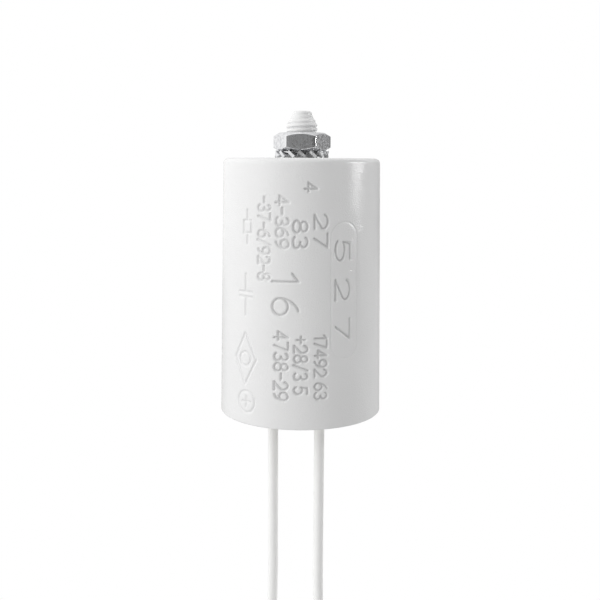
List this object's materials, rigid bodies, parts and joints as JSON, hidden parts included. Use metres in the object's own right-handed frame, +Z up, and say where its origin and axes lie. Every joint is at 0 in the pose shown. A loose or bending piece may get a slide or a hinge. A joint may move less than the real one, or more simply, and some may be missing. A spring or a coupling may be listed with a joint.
{
  "type": "motor run capacitor",
  "caption": "Film capacitor in a round white plastic cup with a threaded mounting stud, hexagon nut and serrated lock washer, and insulated leads from its potted open end.",
  "frame": {"origin": "centre of the flat seat around the stud, on the closed end of the cup", "axes": "+Z up the stud, away from the cup; +X to the right and -Y to the front, where the sunk marks are"},
  "size_m": [0.0418, 0.0418, 0.1747],
  "materials": {
    "case_plastic": "glossy white moulded thermoplastic with sunk marks",
    "nut_zinc": "bright zinc-plated steel",
    "washer_steel": "zinc-plated spring steel",
    "resin": "cast polyurethane resin",
    "film": "wound metallised polypropylene film",
    "core_plastic": "extruded plastic tube",
    "wrap_film": "adhesive film wrap",
    "zinc": "sprayed zinc, matt and grainy",
    "copper": "bare copper wire",
    "solder": "bright solder",
    "resistor_body": "lacquered resistor body",
    "tinned_wire": "tinned solid copper",
    "lead_insulation": "white insulation, satin"
  },
  "bodies": {
    "root": {"case": "case_plastic", "hex_nut": "nut_zinc", "lock_washer": "washer_steel", "potting_resin": "resin", "film_winding": "film", "core_tube": "core_plastic", "winding_wrap": "wrap_film", "zinc_spray_upper": "zinc", "zinc_spray_lower": "zinc", "link_wire": "copper", "solder_upper": "solder", "solder_left": "solder", "solder_right": "solder", "discharge_resistor": "resistor_body", "resistor_wires": "tinned_wire", "inner_end_left": "copper", "inner_end_right": "copper", "lead_left": "lead_insulation", "lead_right": "lead_insulation", "conductor_left": "tinned_wire", "conductor_right": "tinned_wire"}
  },
  "joints": []
}
